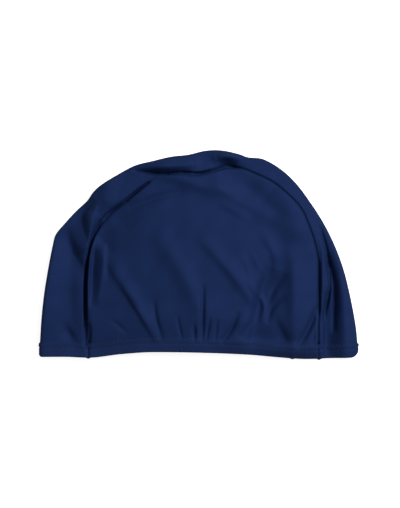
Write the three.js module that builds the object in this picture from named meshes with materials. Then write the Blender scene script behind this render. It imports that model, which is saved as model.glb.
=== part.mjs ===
// A swim cap of stretch knit, laid flat on its side with the hem towards the front.
// Two D-shaped side panels, one on top and one underneath, are joined by a long centre panel that
// folds round the edge of the cap, and a turned hem closes the mouth. Millimetres, +Z up.
import * as THREE from 'three';

// Overall sizes of the cap as it lies
const CAP_WIDTH = 260;
const CAP_HEIGHT = 170;

// Cloth
const FABRIC = 1;
const SEAM_GAP = 0.3;

// Hem: a turned double layer, a little thicker than the cloth above it
const HEM_HEIGHT = 12;
const HEM_THICKNESS = 2.2;
const HEM_PROUD = 0.8;
const HEM_RISE = 6.2;
const HEM_BEVEL = 0.7;

// The fold along the cap's edge
const FOLD_HEIGHT = 3.5;
const FOLD_REACH = 6;
const UNDER_FOLD_REACH = 5;

// How high the upper layer stands: at the edge, what the side panel adds in its middle, and where
// the deepest folds come to rest above the layer underneath
const EDGE_LOFT = 8.5;
const PANEL_LOFT = 11;
const LEAST_LOFT = 3;
const LOFT_BLEND = 0.8;

const CLOTH_COLOUR = 0x19274c;
const HEM_COLOUR = 0x1b2a50;

// What follows from them
const BODY_WIDTH = CAP_WIDTH - 2 * HEM_PROUD;
const BODY_HEIGHT = CAP_HEIGHT - HEM_HEIGHT;

// Facets
const SEAM_STEPS = 96;
const SIDE_ROWS = 28;
const PANEL_COLUMNS = SEAM_STEPS - 2 * SIDE_ROWS;
const MOUTH_STEPS = 72;
const OVER_STEPS = 6;
const FOLD_STEPS = 3;
const UNDER_FOLD_STEPS = 2;
const CURVE_STEPS = 10;

// The edge of the cap and the upper seam, station by station from the left end of the hem over the
// crown to the right end. x is a share of the body's width from the left, and h a share of its
// height above the hem.
const STATIONS = [
  { edge: { x: 0.000, h: 0.000 }, seam: { x: 0.154, h: 0.000 } },
  { edge: { x: 0.005, h: 0.125 }, seam: { x: 0.148, h: 0.128 } },
  { edge: { x: 0.014, h: 0.265 }, seam: { x: 0.143, h: 0.247 } },
  { edge: { x: 0.028, h: 0.410 }, seam: { x: 0.147, h: 0.370 } },
  { edge: { x: 0.040, h: 0.512 }, seam: { x: 0.155, h: 0.468 } },
  { edge: { x: 0.050, h: 0.568 }, seam: { x: 0.167, h: 0.548 } },
  { edge: { x: 0.080, h: 0.628 }, seam: { x: 0.182, h: 0.612 } },
  { edge: { x: 0.115, h: 0.690 }, seam: { x: 0.206, h: 0.662 } },
  { edge: { x: 0.148, h: 0.740 }, seam: { x: 0.240, h: 0.703 } },
  { edge: { x: 0.168, h: 0.786 }, seam: { x: 0.275, h: 0.745 } },
  { edge: { x: 0.194, h: 0.824 }, seam: { x: 0.306, h: 0.789 } },
  { edge: { x: 0.240, h: 0.871 }, seam: { x: 0.341, h: 0.833 } },
  { edge: { x: 0.297, h: 0.921 }, seam: { x: 0.375, h: 0.867 } },
  { edge: { x: 0.353, h: 0.945 }, seam: { x: 0.415, h: 0.888 } },
  { edge: { x: 0.413, h: 0.968 }, seam: { x: 0.460, h: 0.892 } },
  { edge: { x: 0.466, h: 0.978 }, seam: { x: 0.504, h: 0.888 } },
  { edge: { x: 0.522, h: 0.999 }, seam: { x: 0.545, h: 0.902 } },
  { edge: { x: 0.573, h: 1.000 }, seam: { x: 0.589, h: 0.916 } },
  { edge: { x: 0.625, h: 0.982 }, seam: { x: 0.636, h: 0.905 } },
  { edge: { x: 0.655, h: 0.965 }, seam: { x: 0.683, h: 0.873 } },
  { edge: { x: 0.703, h: 0.955 }, seam: { x: 0.733, h: 0.833 } },
  { edge: { x: 0.757, h: 0.905 }, seam: { x: 0.783, h: 0.773 } },
  { edge: { x: 0.806, h: 0.831 }, seam: { x: 0.824, h: 0.701 } },
  { edge: { x: 0.851, h: 0.733 }, seam: { x: 0.852, h: 0.613 } },
  { edge: { x: 0.891, h: 0.632 }, seam: { x: 0.871, h: 0.515 } },
  { edge: { x: 0.925, h: 0.522 }, seam: { x: 0.879, h: 0.411 } },
  { edge: { x: 0.955, h: 0.392 }, seam: { x: 0.881, h: 0.303 } },
  { edge: { x: 0.977, h: 0.247 }, seam: { x: 0.881, h: 0.189 } },
  { edge: { x: 0.994, h: 0.095 }, seam: { x: 0.878, h: 0.085 } },
  { edge: { x: 1.000, h: 0.000 }, seam: { x: 0.876, h: 0.000 } },
];

// The hem's lower edge, at even steps from left to right, as shares of HEM_RISE
const HEM_EDGE = [0.34, 0.36, 0.28, 0.70, 0.98, 1.00, 0.94, 0.80, 0.60, 0.27, 0.03, 0.13, 0.24];
const HEM_FADE = 0.45;

// The lower seam, out of sight underneath, from the left end of the hem to the right. It leaves the
// centre panel about as wide under the cap as it is on top.
const LOWER_SEAM = [
  { x: 0.125, h: 0.00 },
  { x: 0.148, h: 0.24 },
  { x: 0.185, h: 0.46 },
  { x: 0.245, h: 0.61 },
  { x: 0.330, h: 0.70 },
  { x: 0.430, h: 0.74 },
  { x: 0.530, h: 0.745 },
  { x: 0.620, h: 0.71 },
  { x: 0.700, h: 0.60 },
  { x: 0.760, h: 0.43 },
  { x: 0.808, h: 0.22 },
  { x: 0.845, h: 0.00 },
];

// Where the side panel stands highest, and how far its loft reaches, as shares
const LOFT_CENTRE = { x: 0.53, h: 0.3 };
const LOFT_REACH = { x: 0.50, h: 0.75 };
const LOFT_POWER = 1.5;

// Folds of the upper layer, each a soft valley or ridge that runs towards the hem, or to the right,
// from one point by way of another. near is its width on the left or below, and far its width on
// the right or above, both shares of CAP_WIDTH. rise is a share of PANEL_LOFT, negative in a valley.
// A fold fades along a half wave, from FOLD_END of the wave to FOLD_END before its end.
const FOLD_END = 0.12;
const FOLDS = [
  // The valley along the left seam, and the pleat of the side panel beside it
  { from: [0.160, 0.560], by: [0.146, 0.300], to: [0.150, 0.000], near: 0.019, far: 0.008, rise: -0.64 },
  { from: [0.178, 0.510], by: [0.171, 0.376], to: [0.168, 0.230], near: 0.008, far: 0.019, rise: -0.34 },
  // Leaf-shaped valleys of the centre panel on the left
  { from: [0.064, 0.585], by: [0.096, 0.465], to: [0.136, 0.350], near: 0.031, far: 0.025, rise: -0.50 },
  { from: [0.158, 0.735], by: [0.128, 0.655], to: [0.152, 0.525], near: 0.023, far: 0.016, rise: -0.50 },
  // The valley along the upper left seam, with the side panel falling softly to it
  { from: [0.172, 0.560], by: [0.212, 0.675], to: [0.310, 0.792], near: 0.014, far: 0.010, rise: -0.44 },
  { from: [0.215, 0.560], by: [0.285, 0.715], to: [0.400, 0.785], near: 0.027, far: 0.019, rise: -0.28 },
  // Tucks of the centre panel beside the seam at the crown, each with its crest above
  { from: [0.280, 0.892], by: [0.385, 0.882], to: [0.485, 0.890], near: 0.008, far: 0.018, rise: -0.55 },
  { from: [0.290, 0.925], by: [0.390, 0.930], to: [0.500, 0.942], near: 0.014, far: 0.018, rise: 0.20 },
  { from: [0.530, 0.905], by: [0.592, 0.914], to: [0.655, 0.896], near: 0.008, far: 0.020, rise: -0.55 },
  { from: [0.540, 0.972], by: [0.600, 0.975], to: [0.650, 0.955], near: 0.014, far: 0.012, rise: 0.20 },
  // The long valley of the centre panel on the right, with the roll outside it
  { from: [0.893, 0.580], by: [0.924, 0.420], to: [0.928, 0.180], near: 0.018, far: 0.017, rise: -0.50 },
  { from: [0.928, 0.280], by: [0.922, 0.130], to: [0.918, 0.000], near: 0.014, far: 0.020, rise: -0.40 },
  { from: [0.930, 0.520], by: [0.954, 0.300], to: [0.962, 0.000], near: 0.019, far: 0.020, rise: 0.28 },
  // Slanting folds across the side panel
  { from: [0.214, 0.410], by: [0.268, 0.255], to: [0.356, 0.010], near: 0.010, far: 0.023, rise: 0.24 },
  { from: [0.384, 0.540], by: [0.453, 0.350], to: [0.510, 0.135], near: 0.028, far: 0.031, rise: 0.25 },
  { from: [0.500, 0.552], by: [0.602, 0.360], to: [0.671, 0.195], near: 0.012, far: 0.025, rise: 0.21 },
  { from: [0.712, 0.550], by: [0.741, 0.460], to: [0.740, 0.310], near: 0.010, far: 0.015, rise: 0.16 },
  { from: [0.440, 0.840], by: [0.575, 0.780], to: [0.790, 0.580], near: 0.019, far: 0.030, rise: 0.24 },
  // The hollow on the right of the side panel, with the rise beside it
  { from: [0.722, 0.420], by: [0.708, 0.240], to: [0.722, 0.040], near: 0.023, far: 0.038, rise: -0.58 },
  { from: [0.788, 0.500], by: [0.797, 0.280], to: [0.797, 0.000], near: 0.025, far: 0.046, rise: 0.31 },
  // Gathers above the hem, and the slack cloth that they draw up
  { from: [0.519, 0.285], by: [0.518, 0.140], to: [0.516, 0.000], near: 0.013, far: 0.013, rise: -0.20 },
  { from: [0.624, 0.135], by: [0.604, 0.055], to: [0.580, 0.000], near: 0.013, far: 0.013, rise: -0.20 },
  { from: [0.728, 0.180], by: [0.758, 0.080], to: [0.782, 0.000], near: 0.013, far: 0.015, rise: -0.28 },
  { from: [0.170, 0.080], by: [0.520, 0.110], to: [0.860, 0.060], near: 0.038, far: 0.038, rise: 0.11 },
];

// Eases from 0 to 1 as t goes from 0 to 1
function smooth(t) {
  return THREE.MathUtils.smoothstep(t, 0, 1);
}

// Height of a quarter-round fold, as a share, at a share of its reach in from the edge
function roundOver(share) {
  const left = 1 - Math.min(share, 1);
  return Math.sqrt(1 - left * left);
}

// A smooth curve through a table's points
function curveThrough(points) {
  const corners = points.map(({ x, h }) => new THREE.Vector3(x, h, 0));
  return new THREE.CatmullRomCurve3(corners, false, 'catmullrom');
}

const edgeCurve = curveThrough(STATIONS.map((station) => station.edge));
const seamCurve = curveThrough(STATIONS.map((station) => station.seam));
const lowerSeamCurve = curveThrough(LOWER_SEAM);
const hemCurve = curveThrough(HEM_EDGE.map((h, i) => ({ x: i / (HEM_EDGE.length - 1), h })));

// How far the hem's lower edge stands above its lowest line, at a share of the width
function hemEdge(x) {
  return HEM_RISE * hemCurve.getPoint(THREE.MathUtils.clamp(x, 0, 1)).y;
}

// The plan point for shares x and h. The cloth just above the hem follows the hem's curve.
function planPoint(x, h) {
  const lift = hemEdge(x) * (1 - smooth(h / HEM_FADE));
  return new THREE.Vector2((x - 0.5) * BODY_WIDTH, HEM_HEIGHT + h * BODY_HEIGHT + lift);
}

// A fold ready to measure against: its curve as plan points, and its sizes in millimetres
function planFold({ from, by, to, near, far, rise }) {
  const ends = [from, by, to].map(([x, h]) => planPoint(x, h));
  return {
    line: new THREE.SplineCurve(ends).getPoints(CURVE_STEPS),
    near: near * CAP_WIDTH,
    far: far * CAP_WIDTH,
    rise: rise * PANEL_LOFT,
  };
}

// What a fold adds at a plan point: a bell across its line that fades out towards both ends. Round
// the ends the bell's width goes from near to far with the sine of the angle.
function foldRise({ line, near, far, rise }, point) {
  let nearest = Infinity;
  let along = 0;
  let sine = 0;
  for (let i = 0; i + 1 < line.length; i++) {
    const run = line[i + 1].clone().sub(line[i]);
    const reach = point.clone().sub(line[i]);
    const t = THREE.MathUtils.clamp(reach.dot(run) / run.lengthSq(), 0, 1);
    const apart = reach.addScaledVector(run, -t);
    const distance = apart.length();
    if (distance < nearest) {
      nearest = distance;
      along = (i + t) / (line.length - 1);
      sine = run.normalize().cross(apart.normalize());
    }
  }
  const width = THREE.MathUtils.lerp(near, far, (1 + sine) / 2);
  const share = THREE.MathUtils.lerp(FOLD_END, 1 - FOLD_END, along);
  return rise * Math.exp(-((nearest / width) ** 2)) * Math.sin(Math.PI * share);
}

const folds = FOLDS.map(planFold);

// Height of the upper layer's outer face away from the edge, at shares x and h. Near LEAST_LOFT it
// levels off smoothly.
function loft(x, h) {
  const across = (x - LOFT_CENTRE.x) / LOFT_REACH.x;
  const up = (h - LOFT_CENTRE.h) / LOFT_REACH.h;
  const swell = Math.max(0, 1 - across * across - up * up) ** LOFT_POWER;
  const point = planPoint(x, h);
  const folded = folds.reduce((sum, fold) => sum + foldRise(fold, point), 0);
  const over = EDGE_LOFT + PANEL_LOFT * swell + folded - LEAST_LOFT;
  return LEAST_LOFT + (over + Math.hypot(over, LOFT_BLEND)) / 2;
}

// Outer face of the upper layer, for shares x and h and the distance in from the edge
function upperPoint(x, h, inward) {
  const { x: px, y: py } = planPoint(x, h);
  const z = FOLD_HEIGHT + (loft(x, h) - FOLD_HEIGHT) * roundOver(inward / FOLD_REACH);
  return new THREE.Vector3(px, py, z);
}

// Outer face of the layer underneath, which lies flat once it is clear of the fold
function lowerPoint(x, h, inward) {
  const { x: px, y: py } = planPoint(x, h);
  return new THREE.Vector3(px, py, FOLD_HEIGHT * (1 - roundOver(inward / UNDER_FOLD_REACH)));
}

// The way across the centre panel from the edge to a seam, with its length in plan
function crossing(edge, seam) {
  return { edge, seam, reach: planPoint(edge.x, edge.y).distanceTo(planPoint(seam.x, seam.y)) };
}

// The crossings above and underneath at a station s from 0 to 1
function station(s) {
  const edge = edgeCurve.getPoint(s);
  return {
    over: crossing(edge, seamCurve.getPoint(s)),
    under: crossing(edge, lowerSeamCurve.getPointAt(s)),
  };
}

// The shares of a point that lies a distance in from the edge on a crossing
function inFrom({ edge, seam, reach }, inward) {
  return edge.clone().lerp(seam, inward / reach);
}

// Joins a grid of outer points to the inner points a thickness behind them, closed all round.
// Rows run along the second side of each cell, so that columns by rows faces outwards. Along a seam
// the wall is cut upright, so that the two pieces that meet there keep their gap right through.
function clothWall(grid, thickness, atSeam) {
  const rows = grid.length;
  const columns = grid[0].length;
  const at = (row, column) => row * columns + column;
  const faces = [];
  for (let row = 0; row + 1 < rows; row++) {
    for (let column = 0; column + 1 < columns; column++) {
      const [a, b] = [at(row, column), at(row, column + 1)];
      const [c, d] = [at(row + 1, column + 1), at(row + 1, column)];
      faces.push(a, b, c, a, c, d);
    }
  }
  const outer = new THREE.BufferGeometry().setFromPoints(grid.flat());
  outer.setIndex(faces);
  outer.computeVertexNormals();
  const normals = outer.getAttribute('normal');
  const inner = grid.flat().map((point, i) => {
    const behind = new THREE.Vector3().fromBufferAttribute(normals, i);
    if (atSeam(Math.floor(i / columns), i % columns)) {
      behind.set(0, 0, 1 / behind.z);
    }
    return point.clone().addScaledVector(behind, -thickness);
  });

  const count = rows * columns;
  const walls = [...faces];
  for (let i = 0; i < faces.length; i += 3) {
    walls.push(faces[i] + count, faces[i + 2] + count, faces[i + 1] + count);
  }
  const rim = [
    ...Array.from({ length: columns - 1 }, (_, i) => at(0, i)),
    ...Array.from({ length: rows - 1 }, (_, i) => at(i, columns - 1)),
    ...Array.from({ length: columns - 1 }, (_, i) => at(rows - 1, columns - 1 - i)),
    ...Array.from({ length: rows - 1 }, (_, i) => at(rows - 1 - i, 0)),
  ];
  rim.forEach((a, i) => {
    const b = rim[(i + 1) % rim.length];
    walls.push(a, a + count, b + count, a, b + count, b);
  });
  const geometry = new THREE.BufferGeometry().setFromPoints([...grid.flat(), ...inner]);
  geometry.setIndex(walls);
  return geometry;
}

// A ring of like sections, closed both ways
function closedRing(sections) {
  const size = sections[0].length;
  const faces = [];
  sections.forEach((_, i) => {
    const next = (i + 1) % sections.length;
    for (let k = 0; k < size; k++) {
      const up = (k + 1) % size;
      const [a, b] = [i * size + k, next * size + k];
      const [c, d] = [next * size + up, i * size + up];
      faces.push(a, b, c, a, c, d);
    }
  });
  const geometry = new THREE.BufferGeometry().setFromPoints(sections.flat());
  geometry.setIndex(faces);
  return geometry;
}

// The upper side panel: a four-sided patch between the hem and three stretches of the seam
function upperPanelGeometry() {
  const inset = SEAM_GAP / 2;
  const seamAt = (step) => {
    const { over } = station(step / SEAM_STEPS);
    return inFrom(over, over.reach + inset);
  };
  const left = (row) => seamAt(row);
  const top = (column) => seamAt(SIDE_ROWS + column);
  const right = (row) => seamAt(SEAM_STEPS - row);
  const bottom = (column) => left(0).lerp(right(0), column / PANEL_COLUMNS);
  const grid = [];
  for (let row = 0; row <= SIDE_ROWS; row++) {
    const v = row / SIDE_ROWS;
    const points = [];
    for (let column = 0; column <= PANEL_COLUMNS; column++) {
      const u = column / PANEL_COLUMNS;
      const upDown = bottom(column).lerp(top(column), v);
      const leftRight = left(row).lerp(right(row), u);
      const corners = left(0).lerp(right(0), u).lerp(left(SIDE_ROWS).lerp(right(SIDE_ROWS), u), v);
      const share = upDown.add(leftRight).sub(corners);
      points.push(upperPoint(share.x, Math.max(share.y, 0), FOLD_REACH));
    }
    grid.push(points);
  }
  const atSeam = (row, column) => row === SIDE_ROWS || column === 0 || column === PANEL_COLUMNS;
  return clothWall(grid, FABRIC, atSeam);
}

// The lower side panel: a flat D under the cap, cut to the lower seam
function lowerPanelGeometry() {
  const shares = [];
  for (let step = 0; step <= SEAM_STEPS; step++) {
    const { under } = station(step / SEAM_STEPS);
    shares.push(inFrom(under, under.reach + SEAM_GAP / 2));
  }
  const [first, last] = [shares[0], shares[SEAM_STEPS]];
  for (let column = PANEL_COLUMNS - 1; column > 0; column--) {
    shares.push(first.clone().lerp(last, column / PANEL_COLUMNS));
  }
  const outline = new THREE.Shape(shares.map(({ x, y }) => planPoint(x, y)));
  return new THREE.ExtrudeGeometry(outline, { depth: FABRIC, bevelEnabled: false });
}

// The centre panel: from the lower seam, round the fold at the edge, to the upper seam
function centrePanelGeometry() {
  const grid = [];
  for (let step = 0; step <= SEAM_STEPS; step++) {
    const { over, under } = station(step / SEAM_STEPS);
    const above = (inward) => {
      const { x, y } = inFrom(over, inward);
      return upperPoint(x, y, inward);
    };
    const below = (inward) => {
      const { x, y } = inFrom(under, inward);
      return lowerPoint(x, y, inward);
    };
    const row = [below(under.reach - SEAM_GAP / 2)];
    for (let i = UNDER_FOLD_STEPS; i > 0; i--) {
      const turn = (Math.PI / 2) * (i / UNDER_FOLD_STEPS);
      row.push(below(UNDER_FOLD_REACH * (1 - Math.cos(turn))));
    }
    for (let i = 0; i < FOLD_STEPS; i++) {
      const turn = (Math.PI / 2) * (i / FOLD_STEPS);
      row.push(above(FOLD_REACH * (1 - Math.cos(turn))));
    }
    const seam = over.reach - SEAM_GAP / 2;
    for (let i = 0; i <= OVER_STEPS; i++) {
      row.push(above(THREE.MathUtils.lerp(FOLD_REACH, seam, i / OVER_STEPS)));
    }
    grid.push(row);
  }
  const lastColumn = grid[0].length - 1;
  return clothWall(grid, FABRIC, (row, column) => column === 0 || column === lastColumn);
}

// The mouth's outline at a share of the way round it, and at a height above the hem's lower edge:
// over the top from left to right, and back underneath
function mouthPoint(turn, height) {
  const angle = 2 * Math.PI * turn;
  const x = 0.5 - 0.5 * Math.cos(angle);
  const inward = BODY_WIDTH * Math.min(x, 1 - x);
  const h = (height - HEM_HEIGHT) / BODY_HEIGHT;
  const make = Math.sin(angle) >= 0 ? upperPoint : lowerPoint;
  return make(x, h, inward);
}

// The hem: a closed band round the mouth, with a soft lower fold
function hemGeometry() {
  const inner = HEM_PROUD - HEM_THICKNESS;
  const top = HEM_HEIGHT - SEAM_GAP;
  const section = [
    { out: HEM_PROUD - HEM_BEVEL, height: 0 },
    { out: HEM_PROUD, height: HEM_BEVEL },
    { out: HEM_PROUD, height: top - HEM_BEVEL },
    { out: HEM_PROUD - HEM_BEVEL, height: top },
    { out: inner, height: top },
    { out: inner, height: HEM_BEVEL },
    { out: inner + HEM_BEVEL, height: 0 },
  ];
  const sections = [];
  for (let step = 0; step < MOUTH_STEPS; step++) {
    const turn = step / MOUTH_STEPS;
    const behind = mouthPoint(turn - 0.5 / MOUTH_STEPS, 0);
    const ahead = mouthPoint(turn + 0.5 / MOUTH_STEPS, 0);
    const along = ahead.sub(behind).setY(0).normalize();
    const outwards = new THREE.Vector3(-along.z, 0, along.x);
    // The layer underneath lies flat on what carries the cap, so there the hem stands proud inside
    const shift = HEM_PROUD * THREE.MathUtils.clamp(-outwards.z, 0, 1);
    sections.push(section.map(({ out, height }) => {
      return mouthPoint(turn, height).addScaledVector(outwards, out - shift);
    }));
  }
  return closedRing(sections);
}

function clothMaterial(colour, roughness) {
  return new THREE.MeshStandardMaterial({ color: colour, roughness, metalness: 0 });
}

function piece(name, geometry, material) {
  const mesh = new THREE.Mesh(geometry, material);
  mesh.name = name;
  return mesh;
}

const cloth = clothMaterial(CLOTH_COLOUR, 0.5);
const hemCloth = clothMaterial(HEM_COLOUR, 0.55);

const cap = new THREE.Group();
cap.add(piece('upper_side_panel', upperPanelGeometry(), cloth));
cap.add(piece('lower_side_panel', lowerPanelGeometry(), cloth));
cap.add(piece('centre_panel', centrePanelGeometry(), cloth));
cap.add(piece('hem', hemGeometry(), hemCloth));

// The origin is under the middle of the cap, on the surface that it lies on
const bounds = new THREE.Box3().setFromObject(cap);
const middle = bounds.getCenter(new THREE.Vector3());
cap.position.set(-middle.x, -middle.y, -bounds.min.z);

export default cap;
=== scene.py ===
import math

import bpy
import numpy as np
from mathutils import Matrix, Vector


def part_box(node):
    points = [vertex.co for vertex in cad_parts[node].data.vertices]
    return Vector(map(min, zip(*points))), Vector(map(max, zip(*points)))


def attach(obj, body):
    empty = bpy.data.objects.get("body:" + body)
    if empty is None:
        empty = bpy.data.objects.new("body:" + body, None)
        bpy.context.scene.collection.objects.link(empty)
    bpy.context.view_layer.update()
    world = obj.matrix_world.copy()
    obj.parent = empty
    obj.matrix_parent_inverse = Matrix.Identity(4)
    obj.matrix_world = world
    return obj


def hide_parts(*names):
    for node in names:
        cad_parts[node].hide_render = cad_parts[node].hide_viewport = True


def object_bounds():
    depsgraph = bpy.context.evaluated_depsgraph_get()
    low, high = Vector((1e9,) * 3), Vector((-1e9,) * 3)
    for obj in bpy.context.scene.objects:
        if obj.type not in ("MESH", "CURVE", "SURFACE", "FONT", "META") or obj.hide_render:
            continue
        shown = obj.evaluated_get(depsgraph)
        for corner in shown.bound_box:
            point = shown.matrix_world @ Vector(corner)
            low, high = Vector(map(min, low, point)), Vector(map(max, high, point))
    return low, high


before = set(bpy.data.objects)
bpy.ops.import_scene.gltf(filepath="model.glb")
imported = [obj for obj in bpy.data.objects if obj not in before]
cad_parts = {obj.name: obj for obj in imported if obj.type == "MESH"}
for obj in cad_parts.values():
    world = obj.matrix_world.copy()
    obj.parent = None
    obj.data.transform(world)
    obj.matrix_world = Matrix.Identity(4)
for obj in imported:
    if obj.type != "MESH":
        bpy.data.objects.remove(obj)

cad_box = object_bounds()

# Centre panel
# A strip of nylon and elastane tricot that runs from the front of the hem over the crown to the
# back. The cap lies on its side, so the strip shows as a band round the D-shaped side panel, folds
# under at the cap's edge, and is joined to both side panels by narrow overlock seams.

MM = 0.001
CLOTH_THICKNESS = 1.0 * MM
HEM_HEIGHT = 12 * MM
BODY_HEIGHT = 158 * MM
HEM_RISE = 6.2 * MM
HEM_FADE = 0.45
FOLD_HEIGHT = 3.5 * MM
FOLD_REACH = 3.4 * MM
UNDER_FOLD_REACH = 5 * MM
EDGE_LOFT = 8.5 * MM
PANEL_LOFT = 10 * MM
LOFT_CENTRE = (0.49, 0.27)
LOFT_REACH = (0.50, 0.75)
SWELL_POWER = 1.5
LEAST_LOFT = 2.3 * MM
LOFT_BLEND = 0.8 * MM
SEAM_SLIT = 0.1 * MM
UNDER_SEAM_SLIT = 0.02 * MM
SEAM_DIP = 1.5 * MM
SEAM_WIDTH = 1.1 * MM
UNDER_SEAM_DIP = 0.5 * MM
SEAM_POINTS = 90

body_low, body_high = (np.array(corner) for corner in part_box("centre_panel"))
BODY_WIDTH = body_high[0] - body_low[0]

# The cap's edge and the upper seam, from the left end of the hem over the crown to the right end.
# x is a share of the body's width from the left, and h a share of its height above the hem.
STATIONS = np.array([
    # edge x, edge h, seam x, seam h
    (0.000, 0.000, 0.154, 0.000),
    (0.005, 0.125, 0.148, 0.128),
    (0.014, 0.265, 0.143, 0.247),
    (0.028, 0.410, 0.147, 0.370),
    (0.040, 0.512, 0.155, 0.468),
    (0.050, 0.568, 0.167, 0.548),
    (0.080, 0.628, 0.182, 0.612),
    (0.115, 0.690, 0.206, 0.662),
    (0.148, 0.740, 0.240, 0.703),
    (0.168, 0.786, 0.275, 0.745),
    (0.194, 0.824, 0.306, 0.789),
    (0.240, 0.871, 0.341, 0.833),
    (0.297, 0.921, 0.375, 0.862),
    (0.353, 0.945, 0.415, 0.882),
    (0.413, 0.968, 0.460, 0.885),
    (0.466, 0.978, 0.504, 0.881),
    (0.522, 0.999, 0.545, 0.898),
    (0.573, 1.000, 0.589, 0.916),
    (0.625, 0.982, 0.636, 0.905),
    (0.655, 0.965, 0.683, 0.873),
    (0.703, 0.955, 0.733, 0.833),
    (0.757, 0.905, 0.778, 0.773),
    (0.806, 0.831, 0.819, 0.701),
    (0.851, 0.733, 0.844, 0.613),
    (0.891, 0.632, 0.864, 0.515),
    (0.925, 0.522, 0.876, 0.411),
    (0.955, 0.392, 0.878, 0.303),
    (0.977, 0.247, 0.878, 0.189),
    (0.994, 0.095, 0.875, 0.085),
    (1.000, 0.000, 0.875, 0.000),
])

# The lower seam, out of sight underneath, as x and h
LOWER_SEAM = np.array([
    (0.125, 0.00), (0.148, 0.24), (0.185, 0.46), (0.245, 0.61), (0.330, 0.70), (0.430, 0.74),
    (0.530, 0.745), (0.620, 0.71), (0.700, 0.60), (0.760, 0.43), (0.808, 0.22), (0.845, 0.00),
])

# The hem's lower edge at even steps from left to right, as shares of HEM_RISE
HEM_EDGE = np.array([0.34, 0.36, 0.28, 0.70, 0.98, 1.00, 0.94, 0.80, 0.60, 0.27, 0.03, 0.13, 0.24])

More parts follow.
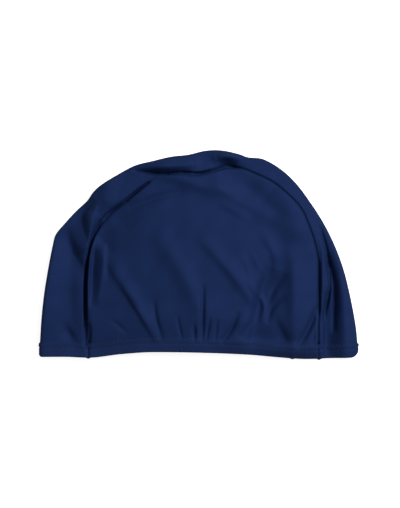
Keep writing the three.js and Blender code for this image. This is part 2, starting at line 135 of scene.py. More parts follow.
# Folds of the upper layer. Each runs towards the hem, or to the right, from one point by way of a
# second to a third, given as x and h. The widths on its left and right, or below and above it, and
# its rise are in millimetres. A valley's rise is negative. The power is 2 for a soft fold and nearer
# 1 for a sharp crease.
FOLDS = np.array([
    # from x, h, by x, h, to x, h, left width, right width, rise, power
    # the valley along the left seam, and the pleat beside it with its two ridges
    (0.150, 0.450, 0.145, 0.280, 0.144, -0.010, 1.5, 1.6, -4.4, 3.0),
    (0.150, 0.450, 0.145, 0.280, 0.144, 0.020, 6.5, 1.2, -2.2, 1.5),
    (0.168, 0.570, 0.157, 0.490, 0.149, 0.390, 0.9, 1.3, -4.8, 2.0),
    (0.094, 0.480, 0.093, 0.260, 0.098, 0.060, 12.0, 7.0, -3.0, 2.0),
    (0.173, 0.590, 0.154, 0.380, 0.154, 0.110, 0.9, 1.5, 2.6, 2.0),
    (0.172, 0.520, 0.166, 0.376, 0.163, 0.210, 1.5, 4.8, -4.0, 2.0),
    (0.204, 0.510, 0.198, 0.365, 0.184, 0.220, 2.2, 2.4, 0.9, 2.0),
    (0.212, 0.500, 0.214, 0.430, 0.216, 0.350, 2.0, 5.0, -1.6, 2.0),
    # the leaf-shaped valleys of the centre panel on the left, and its swell along the edge
    (0.080, 0.600, 0.100, 0.490, 0.144, 0.360, 10.0, 5.0, -4.8, 1.8),
    (0.172, 0.690, 0.161, 0.590, 0.154, 0.460, 13.0, 2.6, 5.4, 2.0),
    (0.174, 0.750, 0.131, 0.660, 0.154, 0.505, 14.0, 4.4, -7.0, 1.8),
    (0.165, 0.785, 0.200, 0.762, 0.240, 0.738, 8.0, 17.0, 3.4, 2.0),
    (0.080, 0.080, 0.094, 0.040, 0.112, 0.000, 5.0, 3.0, -2.2, 2.0),
    (0.030, 0.440, 0.012, 0.220, 0.006, 0.000, 4.0, 13.0, 3.4, 2.0),
    # the valley along the upper left seam, with the side panel falling softly to it
    (0.180, 0.590, 0.228, 0.682, 0.300, 0.775, 10.0, 1.8, -3.4, 1.8),
    (0.182, 0.600, 0.222, 0.680, 0.272, 0.738, 2.2, 1.5, -3.0, 1.3),
    (0.172, 0.590, 0.190, 0.635, 0.218, 0.670, 2.4, 2.0, -1.2, 2.0),
    (0.172, 0.600, 0.198, 0.545, 0.235, 0.480, 6.0, 17.0, -4.4, 2.0),
    (0.235, 0.690, 0.262, 0.640, 0.290, 0.590, 8.0, 16.0, -2.6, 2.0),
    (0.154, 0.470, 0.169, 0.560, 0.190, 0.632, 1.5, 1.5, -4.6, 2.0),
    (0.270, 0.740, 0.304, 0.787, 0.342, 0.832, 1.3, 1.2, -3.0, 2.0),
    (0.344, 0.836, 0.372, 0.862, 0.400, 0.880, 1.2, 1.2, 1.6, 2.0),
    (0.290, 0.705, 0.362, 0.752, 0.440, 0.785, 3.2, 3.4, -2.6, 1.8),
    # the tucks beside the seam at the crown
    (0.304, 0.890, 0.380, 0.877, 0.464, 0.883, 0.8, 4.2, -7.2, 1.3),
    (0.304, 0.906, 0.390, 0.915, 0.486, 0.926, 3.6, 6.0, 5.0, 2.0),
    (0.450, 0.879, 0.500, 0.877, 0.550, 0.897, 1.4, 1.5, -3.6, 1.7),
    (0.560, 0.901, 0.588, 0.912, 0.620, 0.908, 0.8, 5.0, -8.0, 1.4),
    (0.556, 0.962, 0.588, 0.968, 0.622, 0.958, 3.4, 3.4, 5.0, 2.0),
    # the valleys and ridges of the centre panel on the right, and the swell along the right seam
    (0.882, 0.600, 0.899, 0.500, 0.911, 0.400, 1.6, 1.4, -2.6, 1.8),
    (0.907, 0.450, 0.927, 0.290, 0.925, 0.070, 2.2, 2.0, -5.0, 1.6),
    (0.722, 0.780, 0.798, 0.672, 0.842, 0.510, 13.0, 15.0, 5.0, 2.0),
    (0.900, 0.240, 0.901, 0.060, 0.901, -0.100, 2.2, 8.2, -7.2, 2.0),
    (0.926, 0.520, 0.954, 0.260, 0.960, -0.120, 5.0, 5.4, 3.6, 2.0),
    (0.880, 0.540, 0.889, 0.430, 0.887, 0.180, 1.8, 2.2, 1.4, 2.0),
    (0.905, 0.420, 0.911, 0.290, 0.890, 0.120, 1.2, 1.6, -4.0, 2.0),
    (0.877, 0.420, 0.877, 0.300, 0.876, 0.160, 1.3, 1.5, -2.6, 2.0),
    # the slanting folds across the side panel, the hollow on its right and the rise beside it
    (0.217, 0.425, 0.262, 0.308, 0.314, 0.195, 3.4, 7.0, 2.2, 2.0),
    (0.268, 0.275, 0.316, 0.140, 0.362, 0.000, 2.2, 5.0, 2.3, 2.0),
    (0.384, 0.540, 0.453, 0.350, 0.510, 0.135, 7.4, 8.0, 2.7, 2.0),
    (0.510, 0.540, 0.602, 0.368, 0.676, 0.195, 4.2, 7.4, 2.3, 2.0),
    (0.630, 0.460, 0.650, 0.400, 0.662, 0.330, 1.8, 2.4, 0.4, 2.0),
    (0.664, 0.480, 0.680, 0.420, 0.704, 0.350, 1.8, 2.4, 0.4, 2.0),
    (0.662, 0.300, 0.702, 0.205, 0.698, 0.110, 1.8, 2.6, 1.8, 2.0),
    (0.704, 0.560, 0.735, 0.470, 0.742, 0.360, 3.0, 5.0, 1.3, 2.0),
    (0.728, 0.400, 0.693, 0.230, 0.670, 0.010, 4.6, 13.5, -8.4, 1.9),
    (0.796, 0.460, 0.800, 0.270, 0.800, -0.010, 6.0, 12.0, 3.8, 2.0),
    (0.764, 0.350, 0.734, 0.275, 0.722, 0.215, 2.0, 2.6, -1.5, 2.0),
    (0.762, 0.235, 0.728, 0.180, 0.716, 0.110, 1.8, 2.6, -2.2, 2.0),
    # the gathers above the hem, and the slack cloth that they draw up
    (0.514, 0.285, 0.513, 0.140, 0.512, -0.010, 1.8, 1.4, -2.8, 1.6),
    (0.360, 0.190, 0.368, 0.090, 0.385, -0.005, 2.4, 1.8, -1.9, 1.8),
    (0.434, 0.110, 0.440, 0.050, 0.448, -0.005, 1.4, 1.1, -1.2, 1.8),
    (0.487, 0.065, 0.487, 0.030, 0.486, -0.010, 1.5, 1.2, -2.2, 1.8),
    (0.536, 0.105, 0.530, 0.050, 0.524, -0.010, 1.3, 1.0, -1.6, 1.8),
    (0.558, 0.095, 0.555, 0.045, 0.551, -0.005, 1.3, 1.0, -1.3, 1.8),
    (0.620, 0.135, 0.602, 0.055, 0.574, -0.010, 1.8, 2.4, -3.2, 1.7),
    (0.640, 0.020, 0.722, 0.010, 0.805, 0.020, 3.0, 10.0, -3.6, 2.0),
    (0.163, 0.300, 0.163, 0.140, 0.166, -0.010, 1.0, 14.0, 1.4, 2.0),
    (0.664, 0.100, 0.650, 0.060, 0.637, 0.010, 1.6, 1.4, -1.2, 1.8),
    (0.740, 0.120, 0.758, 0.060, 0.778, 0.000, 6.0, 3.2, -2.0, 1.8),
    (0.872, 0.190, 0.848, 0.095, 0.814, -0.005, 2.6, 2.8, -4.6, 1.8),
    (0.159, 0.090, 0.159, 0.045, 0.158, 0.000, 0.8, 1.0, -1.8, 2.0),
    (0.866, 0.080, 0.861, 0.040, 0.857, 0.000, 1.2, 1.2, -1.3, 1.8),
    (0.226, 0.110, 0.250, 0.075, 0.275, 0.035, 2.2, 1.6, -0.9, 2.0),
    (0.170, 0.080, 0.520, 0.110, 0.860, 0.060, 10.0, 10.0, 1.2, 2.0),
    # soft slanting folds below the crown
    (0.400, 0.875, 0.575, 0.795, 0.800, 0.580, 6.5, 6.5, 2.2, 2.0),
    (0.385, 0.880, 0.460, 0.840, 0.545, 0.785, 5.0, 7.0, 1.8, 2.0),
    (0.545, 0.885, 0.565, 0.825, 0.600, 0.755, 6.0, 6.0, 1.4, 2.0),
    (0.560, 0.735, 0.600, 0.700, 0.650, 0.650, 3.0, 4.0, 0.9, 2.0),
    (0.600, 0.870, 0.680, 0.770, 0.760, 0.640, 13.0, 8.0, -2.0, 2.0),
    # the two seams as they cross the hem, the hem's lie on both sides, and the puckers beside the
    # right seam
    (0.153, 0.010, 0.153, -0.035, 0.154, -0.090, 1.3, 1.0, -1.3, 2.0),
    (0.875, 0.010, 0.876, -0.035, 0.878, -0.090, 1.1, 1.0, -1.2, 2.0),
    (0.560, -0.090, 0.800, -0.105, 0.985, -0.110, 6.0, 8.5, -7.2, 2.0),
    (-0.010, -0.100, 0.070, -0.105, 0.150, -0.105, 6.0, 10.0, 3.0, 2.0),
    (0.884, -0.030, 0.893, -0.018, 0.905, -0.010, 1.0, 1.0, -0.9, 2.0),
    (0.886, -0.055, 0.897, -0.038, 0.908, -0.028, 1.0, 1.0, -0.9, 2.0),
])
FOLD_END = 0.12
FOLD_MARGIN = 3.4
FOLD_POINTS = 13
LEAST_DISTANCE = 1e-9


def curve_through(points):
    """A curve through the points: between two of them it is the cubic that leaves each one along
    the line joining its neighbours. It takes shares from 0 to 1 and gives places, as arrays."""
    ends = np.vstack([2 * points[0] - points[1], points, 2 * points[-1] - points[-2]])

    def place(share):
        step = np.clip(share, 0, 1) * (len(points) - 1)
        first = np.minimum(step.astype(int), len(points) - 2)
        t = (step - first)[..., None]
        a, b, c, d = (ends[first + k] for k in range(4))
        bend = (2 * a - 5 * b + 4 * c - d) * t ** 2
        twist = (3 * b - a - 3 * c + d) * t ** 3
        return (2 * b + (c - a) * t + bend + twist) / 2

    return place


def by_length(curve, samples=400):
    """The same curve, run along at an even pace: the share of its length takes the place of the
    share of its points."""
    shares = np.linspace(0, 1, samples)
    steps = np.linalg.norm(np.diff(curve(shares), axis=0), axis=-1)
    length = np.append(0, np.cumsum(steps)) / steps.sum()
    return lambda share: curve(np.interp(share, length, shares))


edge_at = curve_through(STATIONS[:, :2])
seam_at = curve_through(STATIONS[:, 2:])
lower_seam_at = by_length(curve_through(LOWER_SEAM))
hem_edge_at = curve_through(np.column_stack([np.linspace(0, 1, len(HEM_EDGE)), HEM_EDGE]))


def eased(t):
    """3t^2 - 2t^3, held at 0 below t = 0 and at 1 above t = 1."""
    t = np.clip(t, 0, 1)
    return t * t * (3 - 2 * t)


def plan(share):
    """Plan place in metres of shares x and h: x times the width, and h times the height. The hem's
    rise is added to the height, and fades out as h goes from 0 to HEM_FADE."""
    x, h = share[..., 0], share[..., 1]
    lift = HEM_RISE * hem_edge_at(x)[..., 1] * (1 - eased(h / HEM_FADE))
    hem_top = body_high[1] - BODY_HEIGHT
    return np.stack([(x - 0.5) * BODY_WIDTH, hem_top + h * BODY_HEIGHT + lift], axis=-1)


def nearest_on(places, line):
    """Distance from each place to a chain of straight runs, the least of its distances to the runs.
    Also how far along the chain the nearest point lies, from 0 to 1, and the sine of the angle that
    the place lies at from the chain there, 1 on its left and -1 on its right."""
    nearest = np.full(places.shape[:-1], np.inf)
    along = np.zeros(places.shape[:-1])
    side = np.zeros(places.shape[:-1])
    for i, (start, end) in enumerate(zip(line[:-1], line[1:])):
        run = end - start
        t = np.clip((places - start) @ run / (run @ run), 0, 1)
        apart = places - start - t[..., None] * run
        distance = np.linalg.norm(apart, axis=-1)
        turned = (run[0] * apart[..., 1] - run[1] * apart[..., 0]) / np.linalg.norm(run)
        closer = distance < nearest
        along = np.where(closer, (i + t) / (len(line) - 1), along)
        side = np.where(closer, turned / np.maximum(distance, LEAST_DISTANCE), side)
        nearest = np.minimum(nearest, distance)
    return nearest, along, side


def fold_rise(places):
    """Height that the folds add: for each, its rise times exp(-(distance / width)^power), times
    half a sine wave along it, so that it fades out towards both ends. The width goes from the one
    on the fold's right to the one on its left with the sine of the angle at its end."""
    total = np.zeros(places.shape[:-1])
    for row in FOLDS:
        line = curve_through(plan(row[:6].reshape(3, 2)))(np.linspace(0, 1, FOLD_POINTS))
        first_width, second_width, rise, power = row[6] * MM, row[7] * MM, row[8] * MM, row[9]
        margin = FOLD_MARGIN * max(first_width, second_width)
        near = np.all((places > line.min(0) - margin) & (places < line.max(0) + margin), axis=-1)
        distance, along, side = nearest_on(places[near], line)
        width = (first_width + second_width + (second_width - first_width) * side) / 2
        fade = np.sin(math.pi * (FOLD_END + (1 - 2 * FOLD_END) * along))
        total[near] += rise * np.exp(-((distance / width) ** power)) * fade
    return total


RIPPLES = 8
RIPPLE_HEIGHT = 0.1 * MM
RIPPLE_LENGTHS = (14, 40)
RIPPLE_SEED = 5


def ripple(places):
    """The cloth's own unevenness: the sum of plane waves, each turned and shifted by chance, and as
    long as chance sets between two lengths in millimetres."""
    chance = np.random.default_rng(RIPPLE_SEED)
    total = np.zeros(places.shape[:-1])
    for _ in range(RIPPLES):
        turn, shift = chance.uniform(0, 2 * math.pi, 2)
        wave = chance.uniform(*RIPPLE_LENGTHS) * MM
        way = np.array([math.cos(turn), math.sin(turn)])
        total += RIPPLE_HEIGHT * np.sin(2 * math.pi * (places @ way) / wave + shift)
    return total


def seam_dip(places):
    """The groove that a seam pulls in: -SEAM_DIP times exp(-(distance to the seam / width)^2)."""
    line = plan(seam_at(np.linspace(0, 1, SEAM_POINTS)))
    distance, _, _ = nearest_on(places, line)
    return -SEAM_DIP * np.exp(-((distance / SEAM_WIDTH) ** 2))


def round_over(share):
    """Height of a fold as a share, nearly level at first and upright at the edge: the cube root of
    1 - (1 - t)^3, and 1 past its reach."""
    return np.cbrt(1 - (1 - np.clip(share, 0, 1)) ** 3)


def upper_face(share, inward, dip=seam_dip):
    """Outer face of the layer on top: a base height and a swell, (1 - x^2 - h^2)^1.5 about its
    centre, with the folds, the ripple and the seam's groove, rounded over to the fold's edge. The
    deepest folds come to rest on the layer underneath: (d + root(d^2 + blend^2)) / 2 above the least
    height, where d is the height over it."""
    places = plan(share)
    across = (share[..., 0] - LOFT_CENTRE[0]) / LOFT_REACH[0]
    up = (share[..., 1] - LOFT_CENTRE[1]) / LOFT_REACH[1]
    swell = np.clip(1 - across ** 2 - up ** 2, 0, 1) ** SWELL_POWER
    loft = EDGE_LOFT + PANEL_LOFT * swell + fold_rise(places) + ripple(places) + dip(places)
    over = loft - LEAST_LOFT
    loft = LEAST_LOFT + (over + np.sqrt(over ** 2 + LOFT_BLEND ** 2)) / 2
    height = FOLD_HEIGHT + (loft - FOLD_HEIGHT) * round_over(inward / FOLD_REACH)
    return np.concatenate([places, height[..., None]], axis=-1)


def lower_face(share, inward):
    """Outer face of the layer underneath, flat on the floor once it is clear of the fold, but for
    the groove of its seam."""
    places = plan(share)
    distance, _, _ = nearest_on(places, plan(lower_seam_at(np.linspace(0, 1, SEAM_POINTS))))
    groove = UNDER_SEAM_DIP * np.exp(-((distance / SEAM_WIDTH) ** 2))
    height = FOLD_HEIGHT * (1 - round_over(inward / UNDER_FOLD_REACH)) + groove
    return np.concatenate([places, height[..., None]], axis=-1)


def cloth_piece(name, grid, uv, closed=False, creased_rows=()):
    """A mesh with one vertex for each place of the grid and a four-sided face for each cell, and a
    UV map in metres along the cloth. Rows by columns face outwards. A closed grid joins up both
    ways. An open one is sharp all round its edge, and each is sharp along its creased rows."""
    rows, columns = grid.shape[:2]
    index = np.arange(rows * columns).reshape(rows, columns)
    rim = np.zeros((rows, columns), dtype=bool)
    rim[list(creased_rows)] = True
    if closed:
        index = np.vstack([index, index[:1]])
        index = np.hstack([index, index[:, :1]])
    else:
        rim[[0, -1]] = True
        rim[:, [0, -1]] = True
    faces = np.stack([index[:-1, :-1], index[:-1, 1:], index[1:, 1:], index[1:, :-1]], axis=-1)
    mesh = bpy.data.meshes.new(name)
    mesh.from_pydata(grid.reshape(-1, 3), [], faces.reshape(-1, 4).tolist())
    layer = mesh.uv_layers.new(name="cloth")
    layer.data.foreach_set("uv", uv.reshape(-1, 2)[faces.reshape(-1)].astype(np.float32).ravel())
    mesh.polygons.foreach_set("use_smooth", np.ones(len(mesh.polygons), dtype=bool))
    ends = np.empty(2 * len(mesh.edges), dtype=np.int32)
    mesh.edges.foreach_get("vertices", ends)
    start, end = ends[::2], ends[1::2]
    same_line = start // columns == end // columns
    if not closed:
        same_line |= start % columns == end % columns
    mesh.edges.foreach_set("use_edge_sharp", rim.ravel()[start] & rim.ravel()[end] & same_line)
    piece = bpy.data.objects.new(name, mesh)
    bpy.context.scene.collection.objects.link(piece)
    return piece


def thicken(piece, thickness):
    """Gives a sheet its wall, all of it behind the outer face."""
    wall = piece.modifiers.new("wall", "SOLIDIFY")
    wall.thickness = thickness
    wall.offset = -1


def run_along(grid, axis):
    """Length of cloth run through from the first row or column, the sum of the steps between."""
    steps = np.linalg.norm(np.diff(grid, axis=axis), axis=-1)
    start = np.zeros_like(np.take(steps, [0], axis=axis))
    return np.concatenate([start, np.cumsum(steps, axis=axis)], axis=axis)


def inwards(edge, seam, distances):
    """Shares of the points at given distances in from the edge on straight lines to the seam."""
    reach = np.linalg.norm(plan(edge) - plan(seam), axis=-1)[:, None]
    distances = distances(reach)
    share = edge[:, None] + (seam - edge)[:, None] * (distances / reach)[..., None]
    return share, distances


# The strip's grid: points along the edge, points round each half of the fold, and points from the
# fold to each seam, which crowd towards the seam by a power
EDGE_POINTS = 500
FOLD_TURN_POINTS = 8
UNDER_POINTS, UNDER_CROWDING = 14, 3
OVER_POINTS, OVER_CROWDING = 62, 1.4

along_edge = np.linspace(0, 1, EDGE_POINTS)
edge, seam, lower_seam = edge_at(along_edge), seam_at(along_edge), lower_seam_at(along_edge)
quarter = np.linspace(0, math.pi / 2, FOLD_TURN_POINTS)
under_way = 1 - np.linspace(0, 1, UNDER_POINTS)[:-1] ** UNDER_CROWDING
over_way = 1 - np.linspace(1, 0, OVER_POINTS)[1:] ** OVER_CROWDING
under_share, under_in = inwards(edge, lower_seam, lambda reach: np.hstack([
    UNDER_FOLD_REACH + (reach - UNDER_SEAM_SLIT - UNDER_FOLD_REACH) * under_way,
    UNDER_FOLD_REACH * (1 - np.cos(quarter[:0:-1])) * np.ones_like(reach),
]))
over_share, over_in = inwards(edge, seam, lambda reach: np.hstack([
    FOLD_REACH * (1 - np.cos(quarter)) * np.ones_like(reach),
    FOLD_REACH + (reach - SEAM_SLIT - FOLD_REACH) * over_way,
]))
strip = np.hstack([lower_face(under_share, under_in), upper_face(over_share, over_in)])
strip_uv = np.stack([run_along(strip, 0)[:, under_in.shape[1]][:, None].repeat(strip.shape[1], 1),
                     run_along(strip, 1)], axis=-1)
centre_panel = cloth_piece("centre_panel_cloth", strip, strip_uv)
thicken(centre_panel, CLOTH_THICKNESS)

# Tricot of nylon and elastane, knitted fine and heat-set. Filament yarn lies smooth and close, so the
# face has a soft satin shine, with little sharp reflection. Its real wales are about 0.4 mm apart,
# too fine to show, so they are drawn 0.8 mm apart.
WALE = 0.8 * MM
COURSE = 0.6 * MM
KNIT_RELIEF = 0.05 * MM
DYE_PATCH = 45 * MM
NAVY = "162549"
NAVY_DEEP = "142244"
SHINE = "7090f8"
SATIN_ROUGHNESS = 0.6
YARN_IOR = 1.5
YARN_SPECULAR = 0.18


def linear(colour):
    """Linear colour of an sRGB hex value: (c + 0.055) / 1.055 to the power 2.4, and c / 12.92 for
    the darkest values."""
    channels = (int(colour[i:i + 2], 16) / 255 for i in (0, 2, 4))
    return (*(c / 12.92 if c <= 0.04045 else ((c + 0.055) / 1.055) ** 2.4 for c in channels), 1)


def add_node(tree, kind, inputs, **settings):
    """Adds a node with its settings. Each input is given a value, or linked where it is a socket."""
    node = tree.nodes.new(kind)
    for name, value in settings.items():
        setattr(node, name, value)
    for name, value in inputs.items():
        if isinstance(value, bpy.types.NodeSocket):
            tree.links.new(value, node.inputs[name])
        else:
            node.inputs[name].default_value = value
    return node


def tricot(name, light, deep, relief):
    """Dyed tricot. Loops lie in wales, sin(u), and slant in courses, sin(v + the way to the wale's
    middle), which gives the small V of each stitch. The dye varies softly from patch to patch."""
    material = bpy.data.materials.new(name)
    material.use_nodes = True
    tree = material.node_tree
    tree.nodes.clear()
    cloth_uv = add_node(tree, "ShaderNodeUVMap", {}, uv_map="cloth")
    uv = add_node(tree, "ShaderNodeSeparateXYZ", {"Vector": cloth_uv.outputs["UV"]})
    wale = add_node(tree, "ShaderNodeMath", {0: uv.outputs["X"], 1: 1 / WALE}, operation="MULTIPLY")
    slant = add_node(tree, "ShaderNodeMath", {0: wale.outputs[0], 1: 0.5}, operation="PINGPONG")
    course = add_node(tree, "ShaderNodeMath", {
        0: uv.outputs["Y"], 1: 1 / COURSE, 2: slant.outputs[0]}, operation="MULTIPLY_ADD")
    rib_turn = add_node(tree, "ShaderNodeMath", {0: wale.outputs[0], 1: 2 * math.pi},
                        operation="MULTIPLY")
    loop_turn = add_node(tree, "ShaderNodeMath", {0: course.outputs[0], 1: 2 * math.pi},
                         operation="MULTIPLY")
    rib = add_node(tree, "ShaderNodeMath", {0: rib_turn.outputs[0]}, operation="SINE")
    loop = add_node(tree, "ShaderNodeMath", {0: loop_turn.outputs[0]}, operation="SINE")
    knit = add_node(tree, "ShaderNodeMath", {0: rib.outputs[0], 1: 0.5, 2: loop.outputs[0]},
                    operation="MULTIPLY_ADD")
    bump = add_node(tree, "ShaderNodeBump", {
        "Height": knit.outputs[0], "Strength": 0.5, "Distance": relief})
    place = add_node(tree, "ShaderNodeTexCoord", {})
    patch = add_node(tree, "ShaderNodeTexNoise", {
        "Vector": place.outputs["Object"], "Scale": 1 / DYE_PATCH, "Detail": 3.0, "Roughness": 0.5})
    dye = add_node(tree, "ShaderNodeMix", {
        "Factor": patch.outputs["Fac"], "A": linear(deep), "B": linear(light)}, data_type="RGBA")
    shader = add_node(tree, "ShaderNodeBsdfPrincipled", {
        "Base Color": dye.outputs["Result"], "Normal": bump.outputs["Normal"],
        "Roughness": SATIN_ROUGHNESS, "IOR": YARN_IOR, "Specular IOR Level": YARN_SPECULAR,
        "Specular Tint": linear(SHINE)})
    add_node(tree, "ShaderNodeOutputMaterial", {"Surface": shader.outputs["BSDF"]})
    return material


navy_tricot = tricot("navy nylon tricot, heat-set", NAVY, NAVY_DEEP, KNIT_RELIEF)
centre_panel.data.materials.append(navy_tricot)
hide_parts("centre_panel")
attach(centre_panel, "root")

# Side panels
# Two like D-shaped panels of the same tricot, one on top and one under the cap, sewn into the
# centre panel by an overlock seam. The upper one is slack and takes the folds and the gathers that
# the hem's elastic pulls in, and the lower one is pressed flat by the floor.
PANEL_SIDE_SHARE = 0.3
UPPER_GRID = (186, 244)
LOWER_GRID = (60, 80)


def four_sided(left, right, bottom, top):
    """A patch between four edge curves: the blend across plus the blend up, less the blend of the
    four corners. Rows run up and columns run across."""
    v = np.linspace(0, 1, len(left))[:, None, None]
    u = np.linspace(0, 1, len(top))[None, :, None]
    across = left[:, None] * (1 - u) + right[:, None] * u
    upward = bottom[None] * (1 - v) + top[None] * v
    low_corners = left[0] * (1 - u) + right[0] * u
    high_corners = left[-1] * (1 - u) + right[-1] * u
    return across + upward - (low_corners * (1 - v) + high_corners * v)


def panel_shares(rows, columns, edge_curve, seam_curve, slit):
    """Shares of a side panel's grid, between the hem and three stretches of its seam."""
    def seam_places(along):
        edge, seam = edge_curve(along), seam_curve(along)
        reach = np.linalg.norm(plan(edge) - plan(seam), axis=-1)[:, None]
        return seam + (seam - edge) * slit / reach

    left = seam_places(np.linspace(0, PANEL_SIDE_SHARE, rows))
    top = seam_places(np.linspace(PANEL_SIDE_SHARE, 1 - PANEL_SIDE_SHARE, columns))
    right = seam_places(np.linspace(1, 1 - PANEL_SIDE_SHARE, rows))
    bottom = left[0] + (right[0] - left[0]) * np.linspace(0, 1, columns)[:, None]
    share = four_sided(left, right, bottom, top)
    share[..., 1] = np.maximum(share[..., 1], 0)
    return share


share = panel_shares(*UPPER_GRID, edge_at, seam_at, SEAM_SLIT)
upper_grid = upper_face(share, np.full(share.shape[:2], FOLD_REACH))
upper_panel = cloth_piece("upper_side_panel_cloth", upper_grid, upper_grid[..., :2])

share = panel_shares(*LOWER_GRID, edge_at, lower_seam_at, UNDER_SEAM_SLIT)[:, ::-1]
lower_grid = lower_face(share, np.full(share.shape[:2], UNDER_FOLD_REACH))
lower_panel = cloth_piece("lower_side_panel_cloth", lower_grid, lower_grid[..., :2])

for panel, node in ((upper_panel, "upper_side_panel"), (lower_panel, "lower_side_panel")):
    thicken(panel, CLOTH_THICKNESS)
    panel.data.materials.append(navy_tricot)
    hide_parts(node)
    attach(panel, "root")

# Hem
# The cloth at the mouth, turned in over a flat elastic and stitched down. The double layer is a
# little thicker than the cap, the lower half is smooth over the elastic, and the stitched upper
# half is drawn into fine ribs. The ends of both seams make small nubs on the hem's edge.
HEM_THICKNESS = 2.2 * MM
HEM_PROUD = 0.8 * MM
HEM_TOP = HEM_HEIGHT - 0.03 * MM
HEM_SINK = 0.7 * MM
STITCH_LOW = 7.3 * MM
STITCH_HIGH = 11.2 * MM
RIB_PITCH = 2.74 * MM
RIB_HEIGHT = 0.12 * MM
RIB_FADE = 1.5 * MM
PRESS_DEPTH = 0.25 * MM
PRESS_WIDTH = 0.7 * MM
NUBS = ((0.1535, 0.9 * MM), (0.794, 0.7 * MM), (0.879, 1.0 * MM))
NUB_WIDTH = 0.005
CORNERS = ((0, 1.8 * MM), (1, 5.5 * MM))
MOUTH_POINTS = 2401
TURN_STEP = 0.002
HEM_POINTS = 640
HEM_ROWS = 26
TURN_IN_ROWS = 6


def mouth_shares(turn, height):
    """Shares round the mouth at a height above the hem's edge, over the top from left to right and
    back underneath: x is half of 1 - cos(2 pi turn)."""
    x = 0.5 - 0.5 * np.cos(2 * math.pi * turn)
    h = (height - HEM_HEIGHT) / BODY_HEIGHT
    return np.stack(np.broadcast_arrays(x, h), axis=-1)


def mouth_face(turn, height):
    """Places on the mouth's outline at a height, on the upper or the lower layer's outer face. The
    nubs push the hem's edge outwards, and each corner is a quarter round, r - root(r^2 - d^2). Both
    fade towards the hem's top."""
    share = mouth_shares(turn, height)
    inward = BODY_WIDTH * np.minimum(share[..., 0], 1 - share[..., 0])
    on_top = np.sin(2 * math.pi * np.broadcast_to(turn, inward.shape)) >= 0
    over = upper_face(share, inward, dip=lambda places: 0)
    face = np.where(on_top[..., None], over, lower_face(share, inward))
    for x, size in NUBS:
        bell = np.exp(-(((share[..., 0] - x) / NUB_WIDTH) ** 2))
        face[..., 1] -= size * bell * (1 - height / HEM_HEIGHT)
    for x, radius in CORNERS:
        to_end = np.clip(1 - BODY_WIDTH * np.abs(share[..., 0] - x) / radius, 0, 1)
        face[..., 1] += radius * (1 - np.sqrt(1 - to_end ** 2)) * (1 - height / HEM_HEIGHT)
    return face


mouth_turn = np.linspace(0, 1, MOUTH_POINTS)
mouth = mouth_face(mouth_turn, np.zeros(MOUTH_POINTS))
mouth_length = run_along(mouth, 0)


def hem_face(along, height, out):
    """Places on the hem: the mouth's outline at a share of its length, moved out square to it. The
    layer underneath lies flat on the floor, so there the hem stands proud on the inside."""
    turn = np.interp(along % 1, mouth_length / mouth_length[-1], mouth_turn)
    behind = mouth_face(turn - TURN_STEP, np.zeros_like(turn))
    ahead = mouth_face(turn + TURN_STEP, np.zeros_like(turn))
    way = (ahead - behind) * (1, 0, 1)
    way /= np.linalg.norm(way, axis=-1, keepdims=True)
    outwards = np.stack([-way[..., 2], np.zeros_like(turn), way[..., 0]], axis=-1)
    under = np.clip(-outwards[..., 2], 0, 1)
    proud = out - HEM_PROUD * under
    return mouth_face(turn, height) + outwards * proud[..., None], outwards, under


def hem_ribs(along, height):
    """Ribs of the stitched half: a cosine along the hem, faded out above and below the stitches."""
    count = round(mouth_length[-1] / RIB_PITCH)
    zone = eased((height - STITCH_LOW) / RIB_FADE) * eased((HEM_TOP - height) / RIB_FADE)
    return RIB_HEIGHT * zone * np.cos(2 * math.pi * count * along)


def stitch_press(height):
    """Depth of the line that the lower needle holes press into the hem: the most times
    exp(-(distance from the line / width)^2)."""
    return PRESS_DEPTH * np.exp(-(((height - STITCH_LOW) / PRESS_WIDTH) ** 2))


half = HEM_THICKNESS / 2
turn_in = np.linspace(-math.pi / 2, 0, TURN_IN_ROWS)
outer_heights = np.linspace(half, HEM_TOP, HEM_ROWS)
tuck = eased((outer_heights - STITCH_LOW) / (HEM_TOP - STITCH_LOW))
profile_out = np.concatenate([
    HEM_PROUD - half + half * np.cos(turn_in[:-1]),
    HEM_PROUD - HEM_SINK * tuck - stitch_press(outer_heights),
    [HEM_PROUD - HEM_THICKNESS] * 3,
    HEM_PROUD - half - half * np.cos(turn_in[:0:-1]),
])
profile_height = np.concatenate([
    half + half * np.sin(turn_in[:-1]),
    outer_heights,
    [HEM_TOP, (HEM_TOP + half) / 2, half],
    half + half * np.sin(turn_in[:0:-1]),
])
is_outer = np.arange(len(profile_out)) < len(turn_in) - 1 + len(outer_heights)
hem_along = np.linspace(0, 1, HEM_POINTS, endpoint=False)[:, None] * np.ones(len(profile_out))
hem_height = np.broadcast_to(profile_height, hem_along.shape)
hem_out = profile_out + is_outer * hem_ribs(hem_along, hem_height)
hem_grid, _, _ = hem_face(hem_along, hem_height, hem_out)
hem_grid = hem_grid.transpose(1, 0, 2)
hem_uv = np.stack([hem_along.T * mouth_length[-1], run_along(hem_grid, 0)], axis=-1)
hem_top = np.flatnonzero(profile_height == HEM_TOP)[:2]
hem = cloth_piece("hem_cloth", hem_grid, hem_uv, closed=True, creased_rows=hem_top)

# The hem is the same tricot as the body, painted a shade lighter: painted light that brightens the
# band where its stitches and folds shade it.
HEM_NAVY = "18274b"
HEM_NAVY_DEEP = "172446"
turned_tricot = tricot("navy nylon tricot, turned hem", HEM_NAVY, HEM_NAVY_DEEP, KNIT_RELIEF)
hem.data.materials.append(turned_tricot)
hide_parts("hem")
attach(hem, "root")

# Hem stitches
# One thread of textured polyester in a close zigzag all round the hem, which holds the turned cloth
# over the elastic and still lets it stretch. It lies on the outer face and dips in at each needle
# hole.
THREAD = 0.36 * MM
STITCH_PITCH = 1.37 * MM
POINTS_A_LEG = 6
THREAD_SIDES = 6
HOLE_SHARPNESS = 8
THREAD_NAVY = "23345a"

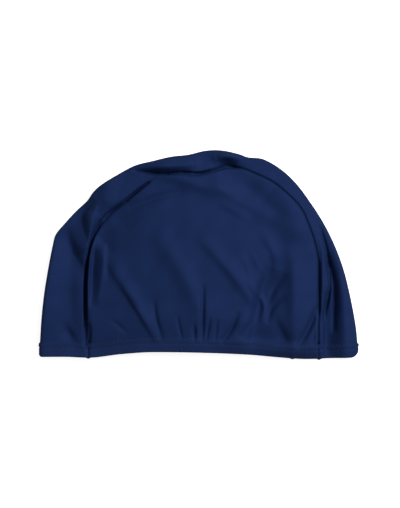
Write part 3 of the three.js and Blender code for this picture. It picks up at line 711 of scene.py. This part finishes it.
# How far the thread's middle lies over the hem, how far it dips at a needle hole, and how far it sinks
# in underneath to stay clear of the floor, all as shares of its thickness
THREAD_OVER = 0.3
THREAD_DIP = 0.7
THREAD_SUNK = 0.8

legs = 2 * round(mouth_length[-1] / STITCH_PITCH / 2)
step = np.arange(legs * POINTS_A_LEG)
along = step / len(step)
swing = 1 - np.abs((step / POINTS_A_LEG) % 2 - 1)
height = STITCH_LOW + (STITCH_HIGH - STITCH_LOW) * swing
dip = (2 * swing - 1) ** HOLE_SHARPNESS
surface = HEM_PROUD + hem_ribs(along, height) - stitch_press(height)
thread_out = surface + THREAD * (THREAD_OVER - THREAD_DIP * dip)
centre, outwards, under = hem_face(along, height, thread_out)
centre += outwards * (-THREAD * THREAD_SUNK * under)[:, None]
way = np.roll(centre, -1, axis=0) - np.roll(centre, 1, axis=0)
way /= np.linalg.norm(way, axis=-1, keepdims=True)
side = np.cross(way, outwards)
side /= np.linalg.norm(side, axis=-1, keepdims=True)
top = np.cross(side, way)
angle = np.linspace(0, 2 * math.pi, THREAD_SIDES, endpoint=False)[:, None, None]
thread_grid = centre + THREAD / 2 * (np.cos(angle) * top + np.sin(angle) * side)
thread_uv = np.stack(np.broadcast_arrays(run_along(centre, 0), angle[..., 0] * THREAD), axis=-1)
stitches = cloth_piece("hem_stitches", thread_grid, thread_uv, closed=True)


def spun_thread(name, colour):
    """Textured polyester thread: fine slanting plies, sin(length / ply + turn), with a dull shine."""
    material = bpy.data.materials.new(name)
    material.use_nodes = True
    tree = material.node_tree
    tree.nodes.clear()
    cloth_uv = add_node(tree, "ShaderNodeUVMap", {}, uv_map="cloth")
    plies = add_node(tree, "ShaderNodeTexWave", {
        "Vector": cloth_uv.outputs["UV"], "Scale": 1 / THREAD, "Distortion": 0.0},
        bands_direction="DIAGONAL")
    bump = add_node(tree, "ShaderNodeBump", {
        "Height": plies.outputs["Fac"], "Strength": 0.4, "Distance": 0.1 * THREAD})
    shader = add_node(tree, "ShaderNodeBsdfPrincipled", {
        "Base Color": linear(colour), "Normal": bump.outputs["Normal"],
        "Roughness": SATIN_ROUGHNESS, "IOR": YARN_IOR, "Specular IOR Level": YARN_SPECULAR,
        "Specular Tint": linear(SHINE)})
    add_node(tree, "ShaderNodeOutputMaterial", {"Surface": shader.outputs["BSDF"]})
    return material


stitches.data.materials.append(spun_thread("navy polyester thread", THREAD_NAVY))
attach(stitches, "root")

# Floor, light and camera
# A white acrylic table, lit from beneath so that it shows no shadow, but kept from lighting the cap's
# edges. One soft light stands at the upper right, with a weak even light all round, and a long lens
# looks straight down. The table's top lies a hair under the cap, so that no two faces coincide.
TABLE_WHITE = "e6e6e6"
TABLE_ROUGHNESS = 0.9
TABLE_GLOW = 0.8
TABLE_TOP = -0.3 * MM
TABLE_REACH = 3
KEY_SIZE = 0.7
KEY_POWER = 36
KEY_PLACE = (1.00, 0.66, 1.36)
EVEN_LIGHT = 0.32

floor_mesh = bpy.data.meshes.new("floor")
floor_corners = [(x * TABLE_REACH, y * TABLE_REACH, TABLE_TOP)
                 for x, y in ((-1, -1), (1, -1), (1, 1), (-1, 1))]
floor_mesh.from_pydata(floor_corners, [], [(0, 1, 2, 3)])
floor = bpy.data.objects.new("floor", floor_mesh)
bpy.context.scene.collection.objects.link(floor)
acrylic = bpy.data.materials.new("white acrylic table")
acrylic.use_nodes = True
table = acrylic.node_tree.nodes["Principled BSDF"].inputs
table["Base Color"].default_value = linear(TABLE_WHITE)
table["Roughness"].default_value = TABLE_ROUGHNESS
table["Emission Color"].default_value = (1, 1, 1, 1)
table["Emission Strength"].default_value = TABLE_GLOW
floor.data.materials.append(acrylic)
floor.visible_diffuse = False
floor.visible_glossy = False

key_data = bpy.data.lights.new("soft light from the upper right", "AREA")
key_data.size = KEY_SIZE
key_data.energy = KEY_POWER
key = bpy.data.objects.new("soft light from the upper right", key_data)
key.location = KEY_PLACE
key.rotation_euler = (math.atan2(math.hypot(*key.location[:2]), key.location[2]), 0,
                      math.atan2(key.location[0], -key.location[1]))
bpy.context.scene.collection.objects.link(key)

world = bpy.data.worlds.new("studio")
world.use_nodes = True
world.node_tree.nodes["Background"].inputs["Color"].default_value = (1, 1, 1, 1)
world.node_tree.nodes["Background"].inputs["Strength"].default_value = EVEN_LIGHT
bpy.context.scene.world = world
bpy.context.scene.view_settings.view_transform = "Standard"

PHOTO_WIDTH_PX = 400
CAP_WIDTH_PX = 318.5
CAP_MIDDLE_PX = (-1.25, 0.9)
SENSOR = 36
CAMERA_HEIGHT = 1.5

cap_width = cad_box[1].x - cad_box[0].x
view_width = cap_width * PHOTO_WIDTH_PX / CAP_WIDTH_PX
pixel = view_width / PHOTO_WIDTH_PX
camera_data = bpy.data.cameras.new("camera")
camera_data.sensor_fit = "HORIZONTAL"
camera_data.sensor_width = SENSOR
camera_data.lens = SENSOR * CAMERA_HEIGHT / view_width
camera = bpy.data.objects.new("camera", camera_data)
camera.location = (-CAP_MIDDLE_PX[0] * pixel, CAP_MIDDLE_PX[1] * pixel, CAMERA_HEIGHT)
bpy.context.scene.collection.objects.link(camera)
bpy.context.scene.camera = camera
